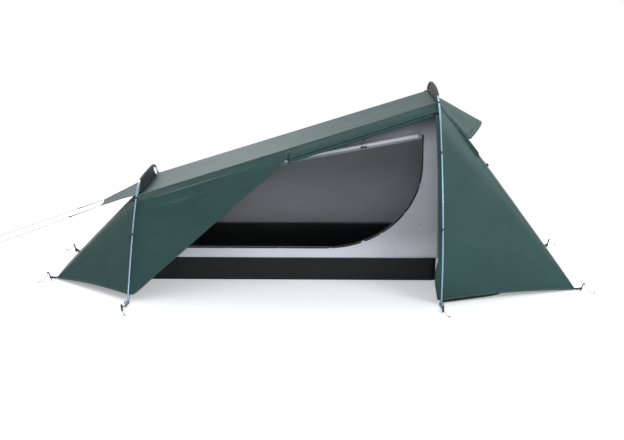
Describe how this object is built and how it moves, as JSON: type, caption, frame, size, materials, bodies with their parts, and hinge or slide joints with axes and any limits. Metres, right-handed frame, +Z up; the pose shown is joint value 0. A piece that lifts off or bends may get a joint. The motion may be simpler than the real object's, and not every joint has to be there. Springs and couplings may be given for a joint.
{
  "type": "one-person two-hoop tent",
  "caption": "Low one-person tent on two outside pole hoops, with a tapering flysheet, an open side door, a hooded head vent and a hung inner tent with a bathtub tray.",
  "frame": {"origin": "on the ground under the tray, on the flysheet's centre line, at the middle of the two pairs of corner pegs", "axes": "+X along the tent towards its head end, +Y away from the door, +Z up"},
  "size_m": [3.9275, 1.915, 1.153],
  "materials": {
    "flysheet": "coated ripstop, slight sheen",
    "inner_cloth": "breathable weave, matt",
    "net": "fine net, matt",
    "tray": "coated weave, slight sheen",
    "pole": "anodised, satin",
    "bare_alloy": "bare, satin",
    "elastic": "braided, matt",
    "peg": "anodised, satin",
    "plastic": "moulded, matt",
    "webbing": "woven tape, matt",
    "cord": "braided, matt",
    "zip": "coil, matt"
  },
  "bodies": {
    "tent": {"fly_awning": "flysheet", "fly_foot": "flysheet", "fly_front_panel": "flysheet", "fly_head": "flysheet", "fly_hood": "flysheet", "fly_roof": "flysheet", "fly_side_back": "flysheet", "foot_clip_tape_back": "webbing", "foot_clip_tape_front": "webbing", "foot_crest": "flysheet", "foot_hoop_strap_back": "webbing", "foot_hoop_strap_front": "webbing", "guyline_back": "cord", "guyline_front": "cord", "head_clip_tape_back": "webbing", "head_clip_tape_front": "webbing", "head_crest": "flysheet", "head_hoop_strap_back": "webbing", "head_hoop_strap_front": "webbing", "inner_door_roll": "inner_cloth", "inner_door_toggle": "plastic", "inner_roof": "inner_cloth", "inner_tray": "tray", "inner_wall_back": "inner_cloth", "inner_wall_front_foot": "inner_cloth", "inner_wall_front_head": "inner_cloth", "inner_wall_head": "inner_cloth", "inner_zip": "zip", "outer_door_roll": "flysheet", "outer_door_toggle": "plastic", "outer_zip": "zip", "peg_foot_corner_back": "peg", "peg_foot_corner_front": "peg", "peg_foot_hoop_back": "peg", "peg_foot_hoop_front": "peg", "peg_guyline_back": "peg", "peg_guyline_front": "peg", "peg_head_corner_back": "peg", "peg_head_corner_front": "peg", "peg_head_hoop_back": "peg", "peg_head_hoop_front": "peg", "vent_cord": "cord", "vent_net": "net"},
    "head_hoop": {"head_pole_1": "pole", "head_pole_2": "pole", "head_pole_3": "pole", "head_pole_4": "pole", "head_pole_elastic": "elastic", "head_pole_tip_back": "bare_alloy", "head_pole_tip_front": "bare_alloy"},
    "foot_hoop": {"foot_pole_1": "pole", "foot_pole_2": "pole", "foot_pole_3": "pole", "foot_pole_elastic": "elastic", "foot_pole_tip_back": "bare_alloy", "foot_pole_tip_front": "bare_alloy"},
    "inner_zip_slider": {"inner_zip_slider": "plastic"},
    "outer_zip_slider": {"outer_zip_slider": "plastic"},
    "tensioner_front": {"tensioner_front": "plastic"},
    "tensioner_back": {"tensioner_back": "plastic"}
  },
  "joints": [
    {"name": "head_hoop_fold", "type": "hinge", "parent": "tent", "child": "head_hoop", "pos_m": [0.732, 0, 0.006], "axis": [0, -1, 0], "range_deg": [0, 86], "deforming": ["fly_awning", "fly_foot", "fly_front_panel", "fly_head", "fly_hood", "fly_roof", "fly_side_back", "foot_clip_tape_back", "foot_clip_tape_front", "foot_crest", "foot_hoop_strap_back", "foot_hoop_strap_front", "guyline_back", "guyline_front", "head_clip_tape_back", "head_clip_tape_front", "head_crest", "head_hoop_strap_back", "head_hoop_strap_front", "inner_door_roll", "inner_door_toggle", "inner_roof", "inner_tray", "inner_wall_back", "inner_wall_front_foot", "inner_wall_front_head", "inner_wall_head", "inner_zip", "outer_door_roll", "outer_door_toggle", "outer_zip", "vent_cord", "vent_net"]},
    {"name": "foot_hoop_fold", "type": "hinge", "parent": "tent", "child": "foot_hoop", "pos_m": [-1.024, 0, 0.006], "axis": [0, -1, 0], "range_deg": [0, 80]},
    {"name": "inner_zip_slide", "type": "slide", "parent": "tent", "child": "inner_zip_slider", "axis": [0, 0, -1], "range_m": [0, 0.165]},
    {"name": "outer_zip_slide", "type": "slide", "parent": "tent", "child": "outer_zip_slider", "axis": [-0.7328, -0.2945, -0.6134], "range_m": [0, 0.99]},
    {"name": "tensioner_slide_front", "type": "slide", "parent": "tent", "child": "tensioner_front", "axis": [-0.941, -0.0617, -0.3328], "range_m": [-0.12, 0.7]},
    {"name": "tensioner_slide_back", "type": "slide", "parent": "tent", "child": "tensioner_back", "axis": [-0.941, 0.0617, -0.3328], "range_m": [-0.12, 0.7]}
  ],
  "couplings": [
    {"joint": "foot_hoop_fold", "follows": "head_hoop_fold", "ratio": 0.93}
  ]
}
